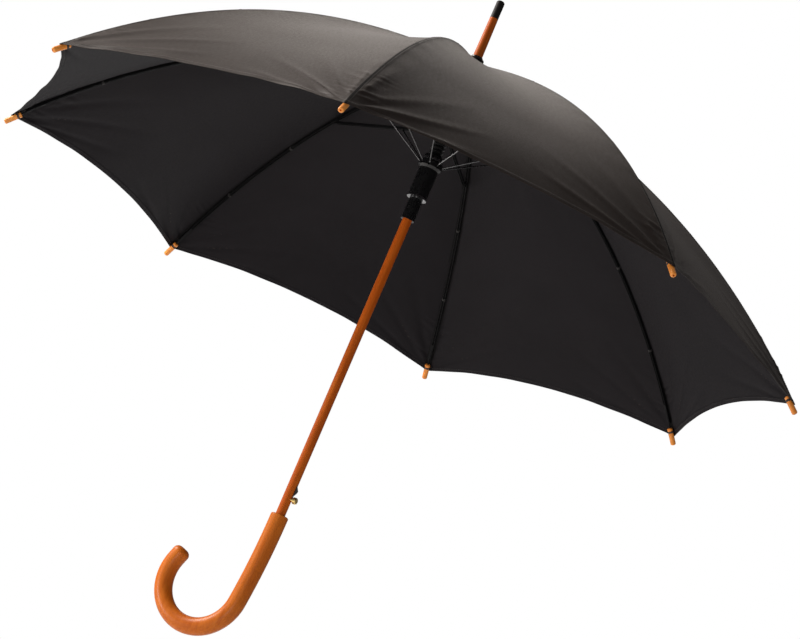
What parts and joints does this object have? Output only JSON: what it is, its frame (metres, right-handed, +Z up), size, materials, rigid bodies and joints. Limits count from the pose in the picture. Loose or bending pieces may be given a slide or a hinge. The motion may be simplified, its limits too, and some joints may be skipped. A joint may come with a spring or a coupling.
{
  "type": "stick umbrella",
  "caption": "Open stick umbrella with a scalloped dark canopy on fluted ribs, a wooden shaft and crook handle, and a runner frame that folds down the shaft.",
  "frame": {"origin": "on the shaft's axis at the top end face of the handle, where the hand's grip begins", "axes": "+Z up the shaft to the ferrule; the crook bends towards -X and the push button faces +X"},
  "size_m": [1.0096, 1.0096, 0.8764],
  "materials": {
    "canopy_cloth": "black plain-weave polyester with a soft sheen",
    "lacquered_wood": "orange-brown stained hardwood under gloss lacquer",
    "black_plastic": "moulded gloss black",
    "black_steel": "semi-gloss black enamel",
    "steel": "nickel-plated wire",
    "chrome": "polished",
    "brass": "polished brass"
  },
  "bodies": {
    "root": {"shaft": "lacquered_wood", "handle_crook": "lacquered_wood", "ferrule_cap": "black_plastic", "top_collar": "black_plastic", "crown_notch": "black_plastic", "crown_wire": "steel"},
    "button": {"push_button": "brass", "latch_catch": "steel"},
    "slider": {"upper_slider": "black_plastic", "opening_spring": "steel"},
    "runner_body": {"runner": "black_plastic", "runner_rings": "chrome"},
    "stretcher_1": {"stretcher_1": "black_steel"},
    "rib_1": {"rib_1": "black_steel", "rib_tip_1": "lacquered_wood"},
    "strut_1": {"strut_1": "steel"},
    "panel_1_left": {"canopy_panel_1_left": "canopy_cloth"},
    "panel_1_right": {"canopy_panel_1_right": "canopy_cloth"},
    "stretcher_2": {"stretcher_2": "black_steel"},
    "rib_2": {"rib_2": "black_steel", "rib_tip_2": "lacquered_wood"},
    "strut_2": {"strut_2": "steel"},
    "panel_2_left": {"canopy_panel_2_left": "canopy_cloth"},
    "panel_2_right": {"canopy_panel_2_right": "canopy_cloth"},
    "stretcher_3": {"stretcher_3": "black_steel"},
    "rib_3": {"rib_3": "black_steel", "rib_tip_3": "lacquered_wood"},
    "strut_3": {"strut_3": "steel"},
    "panel_3_left": {"canopy_panel_3_left": "canopy_cloth"},
    "panel_3_right": {"canopy_panel_3_right": "canopy_cloth"},
    "stretcher_4": {"stretcher_4": "black_steel"},
    "rib_4": {"rib_4": "black_steel", "rib_tip_4": "lacquered_wood"},
    "strut_4": {"strut_4": "steel"},
    "panel_4_left": {"canopy_panel_4_left": "canopy_cloth"},
    "panel_4_right": {"canopy_panel_4_right": "canopy_cloth"},
    "stretcher_5": {"stretcher_5": "black_steel"},
    "rib_5": {"rib_5": "black_steel", "rib_tip_5": "lacquered_wood"},
    "strut_5": {"strut_5": "steel"},
    "panel_5_left": {"canopy_panel_5_left": "canopy_cloth"},
    "panel_5_right": {"canopy_panel_5_right": "canopy_cloth"},
    "stretcher_6": {"stretcher_6": "black_steel"},
    "rib_6": {"rib_6": "black_steel", "rib_tip_6": "lacquered_wood"},
    "strut_6": {"strut_6": "steel"},
    "panel_6_left": {"canopy_panel_6_left": "canopy_cloth"},
    "panel_6_right": {"canopy_panel_6_right": "canopy_cloth"},
    "stretcher_7": {"stretcher_7": "black_steel"},
    "rib_7": {"rib_7": "black_steel", "rib_tip_7": "lacquered_wood"},
    "strut_7": {"strut_7": "steel"},
    "panel_7_left": {"canopy_panel_7_left": "canopy_cloth"},
    "panel_7_right": {"canopy_panel_7_right": "canopy_cloth"},
    "stretcher_8": {"stretcher_8": "black_steel"},
    "rib_8": {"rib_8": "black_steel", "rib_tip_8": "lacquered_wood"},
    "strut_8": {"strut_8": "steel"},
    "panel_8_left": {"canopy_panel_8_left": "canopy_cloth"},
    "panel_8_right": {"canopy_panel_8_right": "canopy_cloth"}
  },
  "joints": [
    {"name": "canopy_slide", "type": "slide", "parent": "root", "child": "slider", "axis": [0, 0, 1], "range_m": [-0.38417, 0], "stiffness_N_per_m": 40, "springref_m": 0.25},
    {"name": "runner_slide", "type": "slide", "parent": "root", "child": "runner_body", "axis": [0, 0, 1], "range_m": [-0.35248, 0.0005], "deforming": ["opening_spring"]},
    {"name": "button_press", "type": "slide", "parent": "root", "child": "button", "axis": [1, 0, 0], "range_m": [-0.0025, 0], "stiffness_N_per_m": 400, "springref_m": 0.001},
    {"name": "stretcher_hinge_1", "type": "hinge", "parent": "slider", "child": "stretcher_1", "pos_m": [0.012, 0.00351, 0.52], "axis": [0.2807, -0.9598, 0], "range_deg": [-0.3, 74.88]},
    {"name": "rib_hinge_1", "type": "hinge", "parent": "stretcher_1", "child": "rib_1", "pos_m": [0.23707, 0.06932, 0.537], "axis": [-0.2807, 0.9598, 0], "range_deg": [-0.3, 136.43]},
    {"name": "strut_hinge_1", "type": "hinge", "parent": "stretcher_1", "child": "strut_1", "pos_m": [0.09052, 0.02647, 0.52553], "axis": [-0.2807, 0.9598, 0], "range_deg": [-0.3, 27.11]},
    {"name": "panel_fold_1_left", "type": "hinge", "parent": "rib_1", "child": "panel_1_left", "pos_m": [0.38085, 0.12276, 0.44367], "axis": [0.8964, 0.3341, -0.2912], "range_deg": [-0.3, 87.4], "deforming": ["canopy_panel_1_left"]},
    {"name": "panel_fold_1_right", "type": "hinge", "parent": "rib_1", "child": "panel_1_right", "pos_m": [0.38699, 0.10178, 0.44367], "axis": [-0.9352, -0.2015, 0.2912], "range_deg": [-0.3, 87.4], "deforming": ["canopy_panel_1_right"]},
    {"name": "stretcher_hinge_2", "type": "hinge", "parent": "slider", "child": "stretcher_2", "pos_m": [0.006, 0.01096, 0.52], "axis": [0.8771, -0.4802, 0], "range_deg": [-0.3, 74.88]},
    {"name": "rib_hinge_2", "type": "hinge", "parent": "stretcher_2", "child": "rib_2", "pos_m": [0.11861, 0.21665, 0.537], "axis": [-0.8771, 0.4802, 0], "range_deg": [-0.3, 136.43]},
    {"name": "strut_hinge_2", "type": "hinge", "parent": "stretcher_2", "child": "strut_2", "pos_m": [0.04529, 0.08273, 0.52553], "axis": [-0.8771, 0.4802, 0], "range_deg": [-0.3, 27.11]},
    {"name": "panel_fold_2_left", "type": "hinge", "parent": "rib_2", "child": "panel_2_left", "pos_m": [0.1825, 0.35611, 0.44367], "axis": [0.3977, 0.8701, -0.2912], "range_deg": [-0.3, 87.4], "deforming": ["canopy_panel_2_left"]},
    {"name": "panel_fold_2_right", "type": "hinge", "parent": "rib_2", "child": "panel_2_right", "pos_m": [0.20168, 0.34561, 0.44367], "axis": [-0.5188, -0.8038, 0.2912], "range_deg": [-0.3, 87.4], "deforming": ["canopy_panel_2_right"]},
    {"name": "stretcher_hinge_3", "type": "hinge", "parent": "slider", "child": "stretcher_3", "pos_m": [-0.00351, 0.012, 0.52], "axis": [0.9598, 0.2807, 0], "range_deg": [-0.3, 74.88]},
    {"name": "rib_hinge_3", "type": "hinge", "parent": "stretcher_3", "child": "rib_3", "pos_m": [-0.06932, 0.23707, 0.537], "axis": [-0.9598, -0.2807, 0], "range_deg": [-0.3, 136.43]},
    {"name": "strut_hinge_3", "type": "hinge", "parent": "stretcher_3", "child": "strut_3", "pos_m": [-0.02647, 0.09052, 0.52553], "axis": [-0.9598, -0.2807, 0], "range_deg": [-0.3, 27.11]},
    {"name": "panel_fold_3_left", "type": "hinge", "parent": "rib_3", "child": "panel_3_left", "pos_m": [-0.12276, 0.38085, 0.44367], "axis": [-0.3341, 0.8964, -0.2912], "range_deg": [-0.3, 87.4], "deforming": ["canopy_panel_3_left"]},
    {"name": "panel_fold_3_right", "type": "hinge", "parent": "rib_3", "child": "panel_3_right", "pos_m": [-0.10178, 0.38699, 0.44367], "axis": [0.2015, -0.9352, 0.2912], "range_deg": [-0.3, 87.4], "deforming": ["canopy_panel_3_right"]},
    {"name": "stretcher_hinge_4", "type": "hinge", "parent": "slider", "child": "stretcher_4", "pos_m": [-0.01096, 0.006, 0.52], "axis": [0.4802, 0.8771, 0], "range_deg": [-0.3, 74.88]},
    {"name": "rib_hinge_4", "type": "hinge", "parent": "stretcher_4", "child": "rib_4", "pos_m": [-0.21665, 0.11861, 0.537], "axis": [-0.4802, -0.8771, 0], "range_deg": [-0.3, 136.43]},
    {"name": "strut_hinge_4", "type": "hinge", "parent": "stretcher_4", "child": "strut_4", "pos_m": [-0.08273, 0.04529, 0.52553], "axis": [-0.4802, -0.8771, 0], "range_deg": [-0.3, 27.11]},
    {"name": "panel_fold_4_left", "type": "hinge", "parent": "rib_4", "child": "panel_4_left", "pos_m": [-0.35611, 0.1825, 0.44367], "axis": [-0.8701, 0.3977, -0.2912], "range_deg": [-0.3, 87.4], "deforming": ["canopy_panel_4_left"]},
    {"name": "panel_fold_4_right", "type": "hinge", "parent": "rib_4", "child": "panel_4_right", "pos_m": [-0.34561, 0.20168, 0.44367], "axis": [0.8038, -0.5188, 0.2912], "range_deg": [-0.3, 87.4], "deforming": ["canopy_panel_4_right"]},
    {"name": "stretcher_hinge_5", "type": "hinge", "parent": "slider", "child": "stretcher_5", "pos_m": [-0.012, -0.00351, 0.52], "axis": [-0.2807, 0.9598, 0], "range_deg": [-0.3, 74.88]},
    {"name": "rib_hinge_5", "type": "hinge", "parent": "stretcher_5", "child": "rib_5", "pos_m": [-0.23707, -0.06932, 0.537], "axis": [0.2807, -0.9598, 0], "range_deg": [-0.3, 136.43]},
    {"name": "strut_hinge_5", "type": "hinge", "parent": "stretcher_5", "child": "strut_5", "pos_m": [-0.09052, -0.02647, 0.52553], "axis": [0.2807, -0.9598, 0], "range_deg": [-0.3, 27.11]},
    {"name": "panel_fold_5_left", "type": "hinge", "parent": "rib_5", "child": "panel_5_left", "pos_m": [-0.38085, -0.12276, 0.44367], "axis": [-0.8964, -0.3341, -0.2912], "range_deg": [-0.3, 87.4], "deforming": ["canopy_panel_5_left"]},
    {"name": "panel_fold_5_right", "type": "hinge", "parent": "rib_5", "child": "panel_5_right", "pos_m": [-0.38699, -0.10178, 0.44367], "axis": [0.9352, 0.2015, 0.2912], "range_deg": [-0.3, 87.4], "deforming": ["canopy_panel_5_right"]},
    {"name": "stretcher_hinge_6", "type": "hinge", "parent": "slider", "child": "stretcher_6", "pos_m": [-0.006, -0.01096, 0.52], "axis": [-0.8771, 0.4802, 0], "range_deg": [-0.3, 74.88]},
    {"name": "rib_hinge_6", "type": "hinge", "parent": "stretcher_6", "child": "rib_6", "pos_m": [-0.11861, -0.21665, 0.537], "axis": [0.8771, -0.4802, 0], "range_deg": [-0.3, 136.43]},
    {"name": "strut_hinge_6", "type": "hinge", "parent": "stretcher_6", "child": "strut_6", "pos_m": [-0.04529, -0.08273, 0.52553], "axis": [0.8771, -0.4802, 0], "range_deg": [-0.3, 27.11]},
    {"name": "panel_fold_6_left", "type": "hinge", "parent": "rib_6", "child": "panel_6_left", "pos_m": [-0.1825, -0.35611, 0.44367], "axis": [-0.3977, -0.8701, -0.2912], "range_deg": [-0.3, 87.4], "deforming": ["canopy_panel_6_left"]},
    {"name": "panel_fold_6_right", "type": "hinge", "parent": "rib_6", "child": "panel_6_right", "pos_m": [-0.20168, -0.34561, 0.44367], "axis": [0.5188, 0.8038, 0.2912], "range_deg": [-0.3, 87.4], "deforming": ["canopy_panel_6_right"]},
    {"name": "stretcher_hinge_7", "type": "hinge", "parent": "slider", "child": "stretcher_7", "pos_m": [0.00351, -0.012, 0.52], "axis": [-0.9598, -0.2807, 0], "range_deg": [-0.3, 74.88]},
    {"name": "rib_hinge_7", "type": "hinge", "parent": "stretcher_7", "child": "rib_7", "pos_m": [0.06932, -0.23707, 0.537], "axis": [0.9598, 0.2807, 0], "range_deg": [-0.3, 136.43]},
    {"name": "strut_hinge_7", "type": "hinge", "parent": "stretcher_7", "child": "strut_7", "pos_m": [0.02647, -0.09052, 0.52553], "axis": [0.9598, 0.2807, 0], "range_deg": [-0.3, 27.11]},
    {"name": "panel_fold_7_left", "type": "hinge", "parent": "rib_7", "child": "panel_7_left", "pos_m": [0.12276, -0.38085, 0.44367], "axis": [0.3341, -0.8964, -0.2912], "range_deg": [-0.3, 87.4], "deforming": ["canopy_panel_7_left"]},
    {"name": "panel_fold_7_right", "type": "hinge", "parent": "rib_7", "child": "panel_7_right", "pos_m": [0.10178, -0.38699, 0.44367], "axis": [-0.2015, 0.9352, 0.2912], "range_deg": [-0.3, 87.4], "deforming": ["canopy_panel_7_right"]},
    {"name": "stretcher_hinge_8", "type": "hinge", "parent": "slider", "child": "stretcher_8", "pos_m": [0.01096, -0.006, 0.52], "axis": [-0.4802, -0.8771, 0], "range_deg": [-0.3, 74.88]},
    {"name": "rib_hinge_8", "type": "hinge", "parent": "stretcher_8", "child": "rib_8", "pos_m": [0.21665, -0.11861, 0.537], "axis": [0.4802, 0.8771, 0], "range_deg": [-0.3, 136.43]},
    {"name": "strut_hinge_8", "type": "hinge", "parent": "stretcher_8", "child": "strut_8", "pos_m": [0.08273, -0.04529, 0.52553], "axis": [0.4802, 0.8771, 0], "range_deg": [-0.3, 27.11]},
    {"name": "panel_fold_8_left", "type": "hinge", "parent": "rib_8", "child": "panel_8_left", "pos_m": [0.35611, -0.1825, 0.44367], "axis": [0.8701, -0.3977, -0.2912], "range_deg": [-0.3, 87.4], "deforming": ["canopy_panel_8_left"]},
    {"name": "panel_fold_8_right", "type": "hinge", "parent": "rib_8", "child": "panel_8_right", "pos_m": [0.34561, -0.20168, 0.44367], "axis": [-0.8038, 0.5188, 0.2912], "range_deg": [-0.3, 87.4], "deforming": ["canopy_panel_8_right"]}
  ],
  "couplings": [
    {"joint": "runner_slide", "follows": "canopy_slide", "ratio": 0.9162},
    {"joint": "stretcher_hinge_1", "follows": "canopy_slide", "rad_per_m": -3.3882},
    {"joint": "rib_hinge_1", "follows": "canopy_slide", "rad_per_m": -6.1844},
    {"joint": "strut_hinge_1", "follows": "canopy_slide", "rad_per_m": -1.2181},
    {"joint": "panel_fold_1_left", "follows": "canopy_slide", "rad_per_m": -3.957},
    {"joint": "panel_fold_1_right", "follows": "canopy_slide", "rad_per_m": -3.957},
    {"joint": "stretcher_hinge_2", "follows": "canopy_slide", "rad_per_m": -3.3882},
    {"joint": "rib_hinge_2", "follows": "canopy_slide", "rad_per_m": -6.1844},
    {"joint": "strut_hinge_2", "follows": "canopy_slide", "rad_per_m": -1.2181},
    {"joint": "panel_fold_2_left", "follows": "canopy_slide", "rad_per_m": -3.957},
    {"joint": "panel_fold_2_right", "follows": "canopy_slide", "rad_per_m": -3.957},
    {"joint": "stretcher_hinge_3", "follows": "canopy_slide", "rad_per_m": -3.3882},
    {"joint": "rib_hinge_3", "follows": "canopy_slide", "rad_per_m": -6.1844},
    {"joint": "strut_hinge_3", "follows": "canopy_slide", "rad_per_m": -1.2181},
    {"joint": "panel_fold_3_left", "follows": "canopy_slide", "rad_per_m": -3.957},
    {"joint": "panel_fold_3_right", "follows": "canopy_slide", "rad_per_m": -3.957},
    {"joint": "stretcher_hinge_4", "follows": "canopy_slide", "rad_per_m": -3.3882},
    {"joint": "rib_hinge_4", "follows": "canopy_slide", "rad_per_m": -6.1844},
    {"joint": "strut_hinge_4", "follows": "canopy_slide", "rad_per_m": -1.2181},
    {"joint": "panel_fold_4_left", "follows": "canopy_slide", "rad_per_m": -3.957},
    {"joint": "panel_fold_4_right", "follows": "canopy_slide", "rad_per_m": -3.957},
    {"joint": "stretcher_hinge_5", "follows": "canopy_slide", "rad_per_m": -3.3882},
    {"joint": "rib_hinge_5", "follows": "canopy_slide", "rad_per_m": -6.1844},
    {"joint": "strut_hinge_5", "follows": "canopy_slide", "rad_per_m": -1.2181},
    {"joint": "panel_fold_5_left", "follows": "canopy_slide", "rad_per_m": -3.957},
    {"joint": "panel_fold_5_right", "follows": "canopy_slide", "rad_per_m": -3.957},
    {"joint": "stretcher_hinge_6", "follows": "canopy_slide", "rad_per_m": -3.3882},
    {"joint": "rib_hinge_6", "follows": "canopy_slide", "rad_per_m": -6.1844},
    {"joint": "strut_hinge_6", "follows": "canopy_slide", "rad_per_m": -1.2181},
    {"joint": "panel_fold_6_left", "follows": "canopy_slide", "rad_per_m": -3.957},
    {"joint": "panel_fold_6_right", "follows": "canopy_slide", "rad_per_m": -3.957},
    {"joint": "stretcher_hinge_7", "follows": "canopy_slide", "rad_per_m": -3.3882},
    {"joint": "rib_hinge_7", "follows": "canopy_slide", "rad_per_m": -6.1844},
    {"joint": "strut_hinge_7", "follows": "canopy_slide", "rad_per_m": -1.2181},
    {"joint": "panel_fold_7_left", "follows": "canopy_slide", "rad_per_m": -3.957},
    {"joint": "panel_fold_7_right", "follows": "canopy_slide", "rad_per_m": -3.957},
    {"joint": "stretcher_hinge_8", "follows": "canopy_slide", "rad_per_m": -3.3882},
    {"joint": "rib_hinge_8", "follows": "canopy_slide", "rad_per_m": -6.1844},
    {"joint": "strut_hinge_8", "follows": "canopy_slide", "rad_per_m": -1.2181},
    {"joint": "panel_fold_8_left", "follows": "canopy_slide", "rad_per_m": -3.957},
    {"joint": "panel_fold_8_right", "follows": "canopy_slide", "rad_per_m": -3.957}
  ]
}
